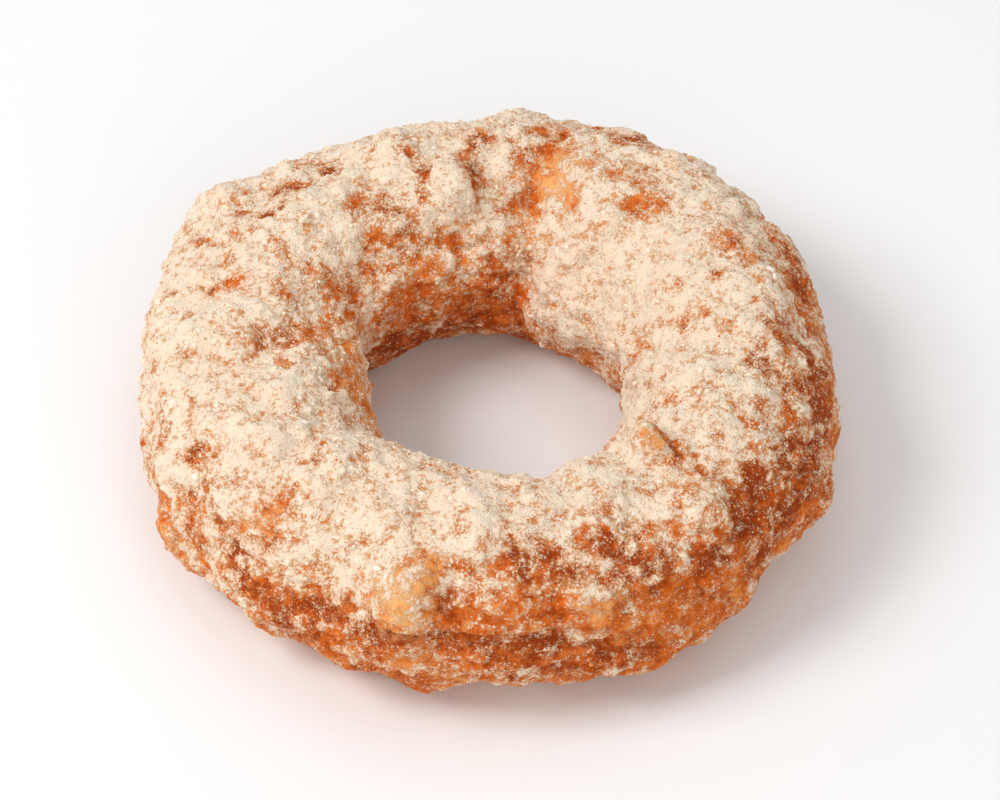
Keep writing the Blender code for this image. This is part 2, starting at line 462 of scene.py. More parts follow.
@dataclass(frozen=True)
class Relief:
    """One scale of the skin's relief.

    Its height is from hollow to crest. bare and coated are the shares of that height
    that show where there is no powder and where the coat is full.
    """

    kind: Lumpiness
    wavelength: float
    height: float
    seed: int
    bare: float = 1.0
    coated: float = 1.0

    def rise(self, points: np.ndarray, round_ring: np.ndarray) -> np.ndarray:
        """How far it lifts each point.

        Args:
            points: The points, in metres.
            round_ring: The same points unrolled, so that flakes run round the ring.

        Returns:
            The rise of each point, in metres, about zero on average.
        """
        if self.kind is Lumpiness.SOFT:
            level = noise_at(points, self.wavelength, self.seed) / 2
        elif self.kind is Lumpiness.BILLOWY:
            level = np.abs(noise_at(points, self.wavelength, self.seed, octaves=2)) - MEAN_SIZE
        else:
            flakes = noise_at(round_ring, self.wavelength, self.seed, octaves=2)
            level = MEAN_SIZE - np.abs(flakes)
        return level * self.height

    def shown(self, cover: np.ndarray) -> np.ndarray:
        """The share of its height that shows under this much powder."""
        return self.bare + (self.coated - self.bare) * cover


@dataclass(frozen=True)
class Drift:
    """A slow change over the surface, up and down by about its strength."""

    wavelength: float
    strength: float
    seed: int
    octaves: int = 2

    def at(self, points: np.ndarray) -> np.ndarray:
        """What it adds at each point."""
        return self.strength * noise_at(points, self.wavelength, self.seed, self.octaves)


@dataclass(frozen=True)
class Coat:
    """Each point of the skin: its place, its cover of powder and how far it faces up."""

    points: np.ndarray
    cover: np.ndarray
    up: np.ndarray


@dataclass
class DoughnutSkin:
    """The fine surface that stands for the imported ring."""

    ring: Ring
    voxel: float = 0.45 * MM
    most_triangles: int = 197_000
    underside_levels: int = 5
    underside_fade: tuple[float, float] = (-0.55, -0.1)
    warp: float = 0.45 * MM
    warp_sizes: tuple[float, float] = (3.0 * MM, 1.3 * MM)
    flake_stretch: float = 5.0
    crags: Relief = Relief(Lumpiness.BILLOWY, 4.0 * MM, 0.75 * MM, seed=1, bare=0.55)
    powder_lumps: Relief = Relief(Lumpiness.BILLOWY, 1.7 * MM, 0.45 * MM, seed=2, bare=0.4)
    powder_grit: Relief = Relief(Lumpiness.SOFT, 0.9 * MM, 0.28 * MM, seed=3, bare=0.5)
    flakes: Relief = Relief(Lumpiness.FLAKY, 2.2 * MM, 1.1 * MM, seed=4, coated=0.3)
    dents: Relief = Relief(Lumpiness.SOFT, 7.5 * MM, 1.5 * MM, seed=5)
    flakes_about: float = 0.1
    flakes_fade: tuple[float, float] = (0.35, 0.8)
    base_fade: tuple[float, float] = (0.9, 1.0)
    dusted_from: Vector = Vector((-0.40, 0.33, 0.86))
    sheltered_cover: float = 0.26
    dusted_cover: float = 0.585
    dusted_fade: tuple[float, float] = (-0.15, 0.95)
    cover_drifts: tuple[Drift, Drift] = (
        Drift(5.5 * MM, 0.23, seed=31),
        Drift(2.6 * MM, 0.24, seed=32),
    )
    # Powder lies thicker on crests and thinner in hollows; the thinner coat also paints shade into
    # the hollows
    crag_cover_and_hollow_shade: float = 0.38
    lump_cover_and_hollow_shade: float = 0.34
    least_cover: float = 0.22
    usual_browning: float = 0.48
    browning_drift: Drift = Drift(4.0 * MM, 0.22, seed=33, octaves=3)
    # The crust is drawn darker in the crags' hollows and paler on their crests
    crust_darker_in_hollows: float = 0.30
    paleness_drift: Drift = Drift(2.0 * MM, 0.18, seed=34, octaves=1)
    smoothness_where_pale: float = 0.6

    def build(self, solid: bpy.types.Object) -> tuple[bpy.types.Object, Coat]:
        """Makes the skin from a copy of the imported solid.

        Args:
            solid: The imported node, which stays as it is.

        Returns:
            The skin, and what is known of its points.
        """
        skin = bpy.data.objects.new("doughnut_skin", solid.data.copy())
        skin.data.materials.clear()
        bpy.context.scene.collection.objects.link(skin)
        pick(skin)
        bpy.ops.object.mode_set(mode="EDIT")
        bpy.ops.mesh.select_all(action="SELECT")
        bpy.ops.mesh.remove_doubles(threshold=0.001 * MM)
        bpy.ops.object.mode_set(mode="OBJECT")
        skin.modifiers.new("round", "SUBSURF").levels = 1
        skin.modifiers["round"].render_levels = 1
        bpy.ops.object.modifier_apply(modifier="round")
        finer = skin.modifiers.new("finer", "REMESH")
        finer.mode = "VOXEL"
        finer.voxel_size = self.voxel
        bpy.ops.object.modifier_apply(modifier="finer")
        self.thin_underside(skin)
        coat = self.shape(skin.data)
        skin.data.shade_smooth()
        return skin, coat

    def thin_underside(self, skin: bpy.types.Object) -> None:
        """Makes the faces larger below, so that the skin keeps within most_triangles.

        Args:
            skin: The skin, still smooth.
        """
        _, lean = self.ring.angles(read_vectors(skin.data.vertices, "co"))
        weights = 1.0 - steps(np.sin(np.radians(lean)), *self.underside_fade)
        group = skin.vertex_groups.new(name="underside")
        for level in range(1, self.underside_levels + 1):
            near = np.flatnonzero(np.round(weights * self.underside_levels) == level)
            group.add(near.tolist(), level / self.underside_levels, "REPLACE")
        fewer = skin.modifiers.new("fewer", "DECIMATE")
        fewer.ratio = min(1.0, self.most_triangles / (2 * len(skin.data.polygons)))
        fewer.vertex_group = group.name
        bpy.ops.object.modifier_apply(modifier="fewer")
        skin.vertex_groups.clear()

    def unrolled(self, turn: np.ndarray, lean: np.ndarray) -> np.ndarray:
        """Places where the ring's length is shortened, so that noise read there is long.

        Args:
            turn: The points' turns, in degrees.
            lean: Their leans, in degrees.

        Returns:
            One place a row, in metres.
        """
        reach = self.ring.radius / self.flake_stretch
        across = np.radians((lean + 90.0) % 360.0) * self.ring.half_height
        turn = np.radians(turn)
        return np.stack([reach * np.cos(turn), reach * np.sin(turn), across], axis=1)

    def astray(
        self, points: np.ndarray, turn: np.ndarray, lean: np.ndarray
    ) -> tuple[np.ndarray, np.ndarray]:
        """Moves places about a little, so that patches have ragged edges.

        Args:
            points: The points, in metres.
            turn: Their turns, in degrees.
            lean: Their leans, in degrees.

        Returns:
            The turns and the leans that patches are read at.
        """
        coarse, fine = self.warp_sizes
        along, across = (
            noise_at(points, coarse, seed) + noise_at(points, fine, seed + 1)
            for seed in (21, 23)
        )
        return (
            turn + np.degrees(self.warp / self.ring.radius) * along,
            lean + np.degrees(self.warp / self.ring.half_height) * across,
        )

    def outward(self, turn: np.ndarray, lean: np.ndarray) -> np.ndarray:
        """The way that the plain ring faces.

        Args:
            turn: The places' turns, in degrees.
            lean: Their leans, in degrees.

        Returns:
            One unit vector a row.
        """
        turn, lean = np.radians(turn), np.radians(lean)
        sideways = np.cos(lean)
        return np.stack([sideways * np.cos(turn), sideways * np.sin(turn), np.sin(lean)], axis=1)

    def added_by_patches(
        self, points: np.ndarray, turn: np.ndarray, lean: np.ndarray
    ) -> dict[str, np.ndarray]:
        """What all the patches together add at each point.

        Args:
            points: The points, in metres.
            turn: Their turns, in degrees.
            lean: Their leans, in degrees.

        Returns:
            The sums of coat, brown, pale and rise, by those names.
        """
        turn, lean = self.astray(points, turn, lean)
        added = {name: np.zeros(len(points)) for name in ("coat", "brown", "pale", "rise")}
        for patch in PATCHES:
            share = patch.share(self.ring, turn, lean)
            for name, total in added.items():
                total += share * getattr(patch, name)
        return added

    def cover_at(
        self, points: np.ndarray, facing: np.ndarray, added: np.ndarray, relief: np.ndarray
    ) -> np.ndarray:
        """How much powder lies at each point.

        Args:
            points: The points, in metres.
            facing: How far each faces the way that the powder fell from, -1 to 1.
            added: What the patches add.
            relief: What the crests and hollows add, which also paints shade into the hollows.

        Returns:
            The cover, from least_cover to 1.
        """
        dusted = self.dusted_cover * steps(facing, *self.dusted_fade)
        cover = self.sheltered_cover + dusted + added
        for drift in self.cover_drifts:
            cover += drift.at(points)
        cover = np.clip(cover + relief, 0.0, 1.0)
        return self.least_cover + (1.0 - self.least_cover) * cover

    def shape(self, mesh: bpy.types.Mesh) -> Coat:
        """Raises the relief on the skin and stores what covers it.

        Args:
            mesh: The skin's mesh, still smooth.

        Returns:
            What is known of its points.
        """
        points = read_vectors(mesh.vertices, "co")
        normals = read_vectors(mesh.vertices, "normal")
        turn, lean = self.ring.angles(points)
        up = np.sin(np.radians(lean))
        added = self.added_by_patches(points, turn, lean)
        round_ring = self.unrolled(turn, lean)
        crags, lumps, grit, flakes, dents = (
            relief.rise(points, round_ring)
            for relief in (self.crags, self.powder_lumps, self.powder_grit, self.flakes, self.dents)
        )

        # Partly painted shade: hollows get less powder, so they are drawn darker and warmer
        crests = self.crag_cover_and_hollow_shade * crags / self.crags.height
        crests += self.lump_cover_and_hollow_shade * lumps / self.powder_lumps.height
        facing = self.outward(turn, lean) @ np.array(self.dusted_from)
        cover = self.cover_at(points, facing, added["coat"], crests)
        browning = self.usual_browning + added["brown"] + self.browning_drift.at(points)
        # The crust is drawn darker in the crags' hollows and paler on their crests
        browning -= self.crust_darker_in_hollows * crags / self.crags.height
        browning = np.clip(browning, 0.0, 1.0)
        paleness = np.clip(added["pale"] + self.paleness_drift.at(points), 0.0, 1.0)

        side = 1.0 - steps(np.abs(up - self.flakes_about), *self.flakes_fade)
        clear_of_base = 1.0 - steps(-up, *self.base_fade)
        roughly = 1.0 - self.smoothness_where_pale * paleness
        rise = added["rise"] * MM + dents * clear_of_base
        rise += crags * self.crags.shown(cover) * roughly
        rise += lumps * self.powder_lumps.shown(cover) * roughly
        rise += grit * self.powder_grit.shown(cover)
        rise += flakes * self.flakes.shown(cover) * side
        points += normals * rise[:, None]
        points[:, 2] = np.maximum(points[:, 2], 0.0)
        mesh.vertices.foreach_set("co", points.astype(np.float32).ravel())
        write_values(mesh, COVER, cover)
        write_values(mesh, BROWNING, browning)
        write_values(mesh, PALENESS, paleness)
        mesh.update()
        return Coat(points, cover, up)


@dataclass(frozen=True)
class LooseBits:
    """One kind of loose bit on the skin, all joined in one mesh.

    Sizes are across a bit. The sizes lean towards the smallest, and sunk is the share
    of its size that lies under the skin. The bits lie thick where the coat's cover is
    between least_cover and most_cover.
    """

    name: str
    kernel: Kernel
    count: int
    smallest: float
    largest: float
    sunk: float
    flatness: float
    ruggedness: float
    least_cover: float
    most_cover: float
    elsewhere: float
    seed: int

    def kernel_shape(self) -> tuple[np.ndarray, np.ndarray]:
        """The bit that all others are copied from.

        Returns:
            Its points, one millimetre across, and its triangles.
        """
        if self.kernel is Kernel.CHIP:
            bpy.ops.mesh.primitive_cone_add(
                vertices=4, radius1=0.5, depth=0.5, end_fill_type="NOTHING", location=(0, 0, 0.25)
            )
            bpy.ops.object.transform_apply(location=True)
            other_half = bpy.context.object.modifiers.new("other_half", "MIRROR")
            other_half.use_axis = (False, False, True)
            bpy.ops.object.modifier_apply(modifier="other_half")
        elif self.kernel is Kernel.NUB:
            bpy.ops.mesh.primitive_ico_sphere_add(subdivisions=1, radius=0.5)
        elif self.kernel is Kernel.CLUMP:
            bpy.ops.mesh.primitive_ico_sphere_add(subdivisions=2, radius=0.5)
        else:
            bpy.ops.mesh.primitive_cube_add(size=0.8)
            bpy.ops.object.mode_set(mode="EDIT")
            bpy.ops.mesh.select_all(action="SELECT")
            bpy.ops.mesh.bevel(offset=0.12, segments=1)
            bpy.ops.object.mode_set(mode="OBJECT")
        model = bpy.context.object
        model.data.calc_loop_triangles()
        points = read_vectors(model.data.vertices, "co")
        triangles = np.empty(len(model.data.loop_triangles) * 3, np.int32)
        model.data.loop_triangles.foreach_get("vertices", triangles)
        old = model.data
        bpy.data.objects.remove(model)
        bpy.data.meshes.remove(old)
        return points, triangles.reshape(-1, 3)

    def places(
        self, skin: bpy.types.Mesh, coat: Coat, draw: np.random.Generator
    ) -> tuple[np.ndarray, np.ndarray, np.ndarray]:
        """Draws where the bits lie.

        Args:
            skin: The skin's mesh.
            coat: What is known of its points.
            draw: The seeded source of random numbers.

        Returns:
            The bits' places on the skin, its normals and its cover there.
        """
        skin.calc_loop_triangles()
        corners = np.empty(len(skin.loop_triangles) * 3, np.int32)
        skin.loop_triangles.foreach_get("vertices", corners)
        corners = corners.reshape(-1, 3)
        a, b, c = (coat.points[corners[:, k]] for k in range(3))
        slope = np.cross(b - a, c - a)
        area = np.linalg.norm(slope, axis=1)
        cover = coat.cover[corners].mean(axis=1)
        liking = self.elsewhere + (1.0 - self.elsewhere) * (
            steps(cover, self.least_cover - COVER_EDGE, self.least_cover + COVER_EDGE)
            * (1.0 - steps(cover, self.most_cover - COVER_EDGE, self.most_cover + COVER_EDGE))
        )
        clear_of_floor = steps(a[:, 2], BARE_BELOW, THICK_ABOVE)
        facing_up = UNDERSIDE_SHARE + (1.0 - UNDERSIDE_SHARE) * steps(
            coat.up[corners[:, 0]], *UNDERSIDE_FADE
        )
        weight = area * liking * clear_of_floor * facing_up
        chosen = draw.choice(len(corners), size=self.count, p=weight / weight.sum())
        first, second = draw.random((2, self.count))
        folded = first + second > 1.0
        first[folded], second[folded] = 1.0 - first[folded], 1.0 - second[folded]
        spots = a[chosen] + (b - a)[chosen] * first[:, None] + (c - a)[chosen] * second[:, None]
        return spots, slope[chosen] / area[chosen][:, None], cover[chosen]

    def build(self, skin: bpy.types.Object, coat: Coat) -> bpy.types.Object:
        """Makes all the bits as one joined mesh.

        Args:
            skin: The finished skin.
            coat: What is known of its points.

        Returns:
            The object that holds them.
        """
        draw = np.random.default_rng(self.seed)
        shape, triangles = self.kernel_shape()
        spots, normals, cover = self.places(skin.data, coat, draw)
        sizes = self.smallest + (self.largest - self.smallest) * draw.random(self.count) ** 2
        sideways = np.cross(normals, draw.normal(size=normals.shape))
        sideways /= np.linalg.norm(sideways, axis=1)[:, None]
        frames = np.stack([sideways, np.cross(normals, sideways), normals], axis=1)
        spins = random_turns(draw, self.count)
        jitter = 1.0 + self.ruggedness * draw.uniform(-1, 1, (self.count, len(shape), 1))
        stretch = draw.uniform(*STRETCH, (self.count, 1, 3))
        bits = np.einsum("nvi,nij->nvj", shape[None] * jitter * stretch, spins)
        bits[:, :, 2] *= 1.0 - self.flatness
        bits *= sizes[:, None, None]
        bits[:, :, 2] += (0.5 - self.sunk) * (1.0 - self.flatness) * sizes[:, None]
        bits = np.einsum("nvi,nij->nvj", bits, frames) + spots[:, None]
        bits[:, :, 2] = np.maximum(bits[:, :, 2], LOWEST_BIT)
        faces = triangles[None] + (np.arange(self.count) * len(shape))[:, None, None]
        mesh = bpy.data.meshes.new(self.name)
        mesh.from_pydata(bits.reshape(-1, 3).tolist(), [], faces.reshape(-1, 3).tolist())
        write_values(mesh, TINT, np.repeat(draw.random(self.count), len(shape)))
        write_values(mesh, COVER, np.repeat(cover, len(shape)))
        mesh.update()
        made = bpy.data.objects.new(self.name, mesh)
        bpy.context.scene.collection.objects.link(made)
        return made


FINE_POWDER = LooseBits(
    "powder_grains", Kernel.CHIP, 24500, 0.13 * MM, 0.28 * MM,
    sunk=0.45, flatness=0.1, ruggedness=0.3, least_cover=0.45, most_cover=1.3,
    elsewhere=0.2, seed=101,
)
COARSE_POWDER = LooseBits(
    "powder_crumbs", Kernel.NUB, 7000, 0.22 * MM, 0.5 * MM,
    sunk=0.55, flatness=0.2, ruggedness=0.35, least_cover=0.5, most_cover=1.3,
    elsewhere=0.12, seed=102,
)
POWDER_CLUMPS = LooseBits(
    "powder_clumps", Kernel.CLUMP, 300, 0.45 * MM, 1.0 * MM,
    sunk=0.68, flatness=0.3, ruggedness=0.25, least_cover=0.6, most_cover=1.3,
    elsewhere=0.03, seed=103,
)
SUGAR = LooseBits(
    "sugar_crystals", Kernel.CRYSTAL, 900, 0.12 * MM, 0.24 * MM,
    sunk=0.3, flatness=0.0, ruggedness=0.1, least_cover=0.0, most_cover=0.65,
    elsewhere=0.2, seed=104,
)
CRUST_CRUMBS = LooseBits(
    "crust_crumbs", Kernel.NUB, 1500, 0.2 * MM, 0.5 * MM,
    sunk=0.55, flatness=0.35, ruggedness=0.3, least_cover=0.35, most_cover=0.9,
    elsewhere=0.15, seed=105,
)


Colour = tuple[float, float, float, float]


def feed(node: bpy.types.Node, inputs: dict[object, object]) -> None:
    """Fills a node's inputs.

    Args:
        node: The node.
        inputs: Socket name or number to a plain value, or to the socket that feeds it.
    """
    for name, value in inputs.items():
        if isinstance(value, bpy.types.NodeSocket):
            node.id_data.links.new(value, node.inputs[name])
        else:
            node.inputs[name].default_value = value


def add_node(
    tree: bpy.types.NodeTree, kind: str, inputs: dict | None = None, **settings: object
) -> bpy.types.Node:
    """Adds a node and fills its inputs.

    Args:
        tree: The node tree.
        kind: The node's type name.
        inputs: Socket name or number to a plain value, or to the socket that feeds it.
        settings: The node's own properties.

    Returns:
        The node.
    """
    node = tree.nodes.new(kind)
    for name, value in settings.items():
        setattr(node, name, value)
    feed(node, inputs or {})
    return node


def maths(tree: bpy.types.NodeTree, operation: str, *values: object) -> bpy.types.NodeSocket:
    """The result of a Math node."""
    node = add_node(tree, "ShaderNodeMath", dict(enumerate(values)), operation=operation)
    return node.outputs[0]


def vectors(tree: bpy.types.NodeTree, operation: str, inputs: dict) -> bpy.types.NodeSocket:
    """The result of a Vector Math node."""
    return add_node(tree, "ShaderNodeVectorMath", inputs, operation=operation).outputs[0]


def weighed(
    tree: bpy.types.NodeTree, start: object, *terms: tuple[bpy.types.NodeSocket, object]
) -> bpy.types.NodeSocket:
    """A sum of weighed values.

    Args:
        tree: The node tree.
        start: What the sum starts from.
        terms: Each value with its weight.

    Returns:
        The socket that holds the sum.
    """
    total = start
    for value, weight in terms:
        total = maths(tree, "MULTIPLY_ADD", value, weight, total)
    return total


def swells(
    tree: bpy.types.NodeTree,
    vector: bpy.types.NodeSocket,
    scale: object,
    detail: float,
    roughness: float = 0.5,
) -> bpy.types.Node:
    """A noise texture.

    Args:
        tree: The node tree.
        vector: The places that it is read at.
        scale: How many swells fit in a metre.
        detail: How many finer layers it has.
        roughness: How strong those are.

    Returns:
        The node.
    """
    inputs = {"Vector": vector, "Scale": scale, "Detail": detail, "Roughness": roughness}
    return add_node(tree, "ShaderNodeTexNoise", inputs)


def read_value(tree: bpy.types.NodeTree, name: str) -> bpy.types.NodeSocket:
    """A number that is stored on the piece's points."""
    return add_node(tree, "ShaderNodeAttribute", attribute_name=name).outputs["Fac"]


def eased(
    tree: bpy.types.NodeTree, value: object, low: float, high: float
) -> bpy.types.NodeSocket:
    """A smooth rise from 0 to 1.

    Args:
        tree: The node tree.
        value: What is mapped.
        low: Where the rise starts.
        high: Where it ends.

    Returns:
        The socket that holds the result.
    """
    inputs = {"Value": value, "From Min": low, "From Max": high}
    node = add_node(tree, "ShaderNodeMapRange", inputs, interpolation_type="SMOOTHSTEP")
    return node.outputs["Result"]


def blended(
    tree: bpy.types.NodeTree, share: object, first: object, second: object
) -> bpy.types.NodeSocket:
    """A colour between two others."""
    node = add_node(tree, "ShaderNodeMix", {0: share, 6: first, 7: second}, data_type="RGBA")
    return node.outputs[2]


def new_group(
    name: str, inputs: dict[str, tuple[str, object]], outputs: dict[str, str]
) -> tuple[bpy.types.NodeTree, bpy.types.Node, bpy.types.Node]:
    """Makes an empty shader node group.

    Args:
        name: The group's name.
        inputs: Each input's name to its socket type and its default, or None.
        outputs: Each output's name to its socket type.

    Returns:
        The group, its input node and its output node.
    """
    group = bpy.data.node_groups.new(name, "ShaderNodeTree")
    for label, (kind, default) in inputs.items():
        socket = group.interface.new_socket(label, in_out="INPUT", socket_type=kind)
        if default is not None:
            socket.default_value = default
    for label, kind in outputs.items():
        group.interface.new_socket(label, in_out="OUTPUT", socket_type=kind)
    return group, group.nodes.new("NodeGroupInput"), group.nodes.new("NodeGroupOutput")


def place_group(
    tree: bpy.types.NodeTree, group: bpy.types.NodeTree, inputs: dict[str, object]
) -> bpy.types.Node:
    """Places a node group in a material and fills its inputs."""
    return add_node(tree, "ShaderNodeGroup", inputs, node_tree=group)


FLOAT = "NodeSocketFloat"
VECTOR = "NodeSocketVector"
COLOUR = "NodeSocketColor"


@dataclass(frozen=True)
class CrustFinish:
    """The fried crust's colours, on the ring and on its crumbs."""

    pale: Colour = (0.98, 0.53, 0.20, 1.0)
    golden: Colour = (0.90, 0.32, 0.065, 1.0)
    orange: Colour = (0.68, 0.135, 0.012, 1.0)
    dark: Colour = (0.32, 0.045, 0.005, 1.0)
    blister: float = 1.0 * MM
    blister_browning: float = 1.7
    blister_paleness: float = -1.2
    orange_from_golden: tuple[float, float] = (0.0, 0.5)
    dark_from_orange: tuple[float, float] = (0.4, 1.0)
    pale_from_baked: tuple[float, float] = (0.05, 1.0)
    roughness: float = 0.65
    crumb_roughness: float = 0.8
    crumb_browning: float = 0.55
    crumb_paleness: float = 0.1
    crumb_dust: float = 0.35
    shine: float = 0.06


@dataclass(frozen=True)
class PowderGrain:
    """How the powder's grain is mixed.

    Each size is that of one kind of unevenness. The weights say how much each kind
    adds to where grains lie, to how high they stand and to how lit they are painted.
    """

    stir: float = 0.5 * MM
    drift_size: float = 2.4 * MM
    cluster_size: float = 0.8 * MM
    fine_size: float = 0.26 * MM
    drift_weight: float = 1.75
    cluster_weight: float = 1.2
    fine_weight: float = 1.15
    chance_weight: float = 0.5
    body_weight: float = 0.3
    body_fade: tuple[float, float] = (0.15, 0.8)
    half_covered_at: float = 0.5
    edge: tuple[float, float] = (-0.34, 0.30)
    least_height: float = 0.3
    height_of_body: float = 0.5
    height_of_clusters: float = 1.0
    height_of_fine: float = 0.8
    # Painted shade: clusters and a thin coat darken the powder's colour through Light
    lit_by_clusters: float = 2.2
    lit_by_thickness: float = 0.95
    dimness: float = 1.72


@dataclass(frozen=True)
class PowderFinish:
    """The milk powder's colours.

    lit, dry, filmy and loose_dry are where the powder turns from painted shade to lit,
    from soaked to dry, from clear to a film and, for loose bits, from soaked to dry.
    """

    cream: Colour = (0.95, 0.79, 0.62, 1.0)
    rosy: Colour = (0.96, 0.765, 0.595, 1.0)
    # Painted shade between grains and on thin powder, which is also the thin powder's own peach
    # tint
    shaded: Colour = (0.72, 0.40, 0.195, 1.0)
    soaked: Colour = (0.83, 0.33, 0.085, 1.0)
    fresh: Colour = (0.97, 0.86, 0.72, 1.0)
    mottle: float = 7 * MM
    loose_mottle: float = 6 * MM
    lit: tuple[float, float] = (0.05, 0.75)
    dry: tuple[float, float] = (0.3, 0.95)
    filmy: tuple[float, float] = (0.3, 0.9)
    loose_dry: tuple[float, float] = (0.3, 0.8)
    film_opacity: float = 0.94
    grain_opacity: float = 0.88
    roughness: float = 0.95
    grain: float = 0.28 * MM
    bump: float = 0.2 * MM
    bump_strength: float = 0.8
    translucency: float = 0.4
    depth: float = 0.4 * MM
    depth_by_colour: tuple[float, float, float] = (1.0, 0.5, 0.3)


@dataclass(frozen=True)
class SugarFinish:
    """Sugar that has taken up some of the crust's colour."""

    clear: Colour = (0.94, 0.78, 0.58, 1.0)
    amber: Colour = (0.86, 0.55, 0.32, 1.0)
    mottle: float = 1.5 * MM
    roughness: float = 0.25


def powder_effect(mix: PowderGrain) -> bpy.types.NodeTree:
    """Grainy powder: where its grains lie, how high they stand and how lit they are painted.

    Args:
        mix: How the grain is mixed.

    Returns:
        The node group. Cover runs from 0, bare, to 1, where nothing shows through. Light is
        painted shade, low between grains and where the powder is thin.
    """
    group, given, result = new_group(
        "powder_effect",
        {"Vector": (VECTOR, None), "Cover": (FLOAT, 0.7), "Grain": (FLOAT, 0.3 * MM)},
        {"Mask": FLOAT, "Thickness": FLOAT, "Height": FLOAT, "Light": FLOAT},
    )
    vector, cover, grain = (given.outputs[name] for name in ("Vector", "Cover", "Grain"))
    stir = swells(group, vector, 1 / mix.stir, 2.0).outputs["Color"]
    stir = vectors(group, "SUBTRACT", {0: stir, 1: (0.5, 0.5, 0.5)})
    stir = vectors(group, "SCALE", {0: stir, "Scale": mix.stir})
    stirred = vectors(group, "ADD", {0: vector, 1: stir})
    cells = add_node(
        group,
        "ShaderNodeTexVoronoi",
        {"Vector": stirred, "Scale": maths(group, "DIVIDE", 1.0, grain)},
    )
    chance = add_node(group, "ShaderNodeSeparateColor", {0: cells.outputs["Color"]}).outputs[0]
    rim = eased(group, cells.outputs["Distance"], *mix.body_fade)
    body = maths(group, "SUBTRACT", 1.0, rim)
    drifts = swells(group, vector, 1 / mix.drift_size, 3.0, 0.6).outputs["Fac"]
    clusters = swells(group, vector, 1 / mix.cluster_size, 3.0, 0.62).outputs["Fac"]
    fine = swells(group, stirred, 1 / mix.fine_size, 2.0).outputs["Fac"]

    drifts = maths(group, "SUBTRACT", drifts, 0.5)
    thickness = weighed(group, cover, (drifts, mix.drift_weight))
    weights = (mix.cluster_weight, mix.fine_weight, mix.chance_weight, mix.body_weight)
    level = weighed(group, thickness, *zip((clusters, fine, chance, body), weights))
    level = maths(group, "SUBTRACT", level, sum(weights) / 2 + mix.half_covered_at)
    grains = eased(group, level, *mix.edge)
    height = weighed(group, mix.least_height, (body, mix.height_of_body))
    height = maths(group, "MULTIPLY", grains, height)
    height = weighed(
        group, height, (clusters, mix.height_of_clusters), (fine, mix.height_of_fine)
    )
    # Light is painted shade: it darkens the powder's colour between grains and where the coat is
    # thin, in place of real shadow
    light = weighed(
        group,
        maths(group, "MULTIPLY", body, mix.body_weight),
        (chance, mix.chance_weight),
        (clusters, mix.lit_by_clusters),
        (thickness, mix.lit_by_thickness),
    )
    light = maths(group, "SUBTRACT", light, mix.dimness)
    feed(result, {"Mask": grains, "Thickness": thickness, "Height": height, "Light": light})
    return group


def crust_effect(finish: CrustFinish) -> bpy.types.NodeTree:
    """Fried crust, from pale yellow through golden orange to dark red brown.

    Args:
        finish: The crust's colours.

    Returns:
        The node group.
    """
    group, given, result = new_group(
        "crust_effect",
        {"Vector": (VECTOR, None), "Browning": (FLOAT, 0.4), "Paleness": (FLOAT, 0.0)},
        {"Color": COLOUR},
    )
    vector, browning, paleness = (
        given.outputs[name] for name in ("Vector", "Browning", "Paleness")
    )
    uneven = swells(group, vector, 1 / finish.blister, 5.0, 0.68).outputs["Fac"]
    uneven = maths(group, "SUBTRACT", uneven, 0.5)
    browning = weighed(group, browning, (uneven, finish.blister_browning))
    orange = eased(group, browning, *finish.orange_from_golden)
    light_side = blended(group, orange, finish.golden, finish.orange)
    dark = eased(group, browning, *finish.dark_from_orange)
    baked = blended(group, dark, light_side, finish.dark)
    paleness = weighed(group, paleness, (uneven, finish.blister_paleness))
    paleness = eased(group, paleness, *finish.pale_from_baked)
    group.links.new(blended(group, paleness, baked, finish.pale), result.inputs["Color"])
    return group


def mottled_effect() -> bpy.types.NodeTree:
    """A colour that drifts between two others over the surface.

    Returns:
        The node group.
    """
    group, given, result = new_group(
        "mottled_effect",
        {
            "Vector": (VECTOR, None),
            "Size": (FLOAT, 8 * MM),
            "First": (COLOUR, (1.0, 1.0, 1.0, 1.0)),
            "Second": (COLOUR, (0.5, 0.5, 0.5, 1.0)),
        },
        {"Color": COLOUR},
    )
    scale = maths(group, "DIVIDE", 1.0, given.outputs["Size"])
    drift = swells(group, given.outputs["Vector"], scale, 3.0).outputs["Fac"]
    share = eased(group, drift, 0.36, 0.64)
    colour = blended(group, share, given.outputs["First"], given.outputs["Second"])
    group.links.new(colour, result.inputs["Color"])
    return group


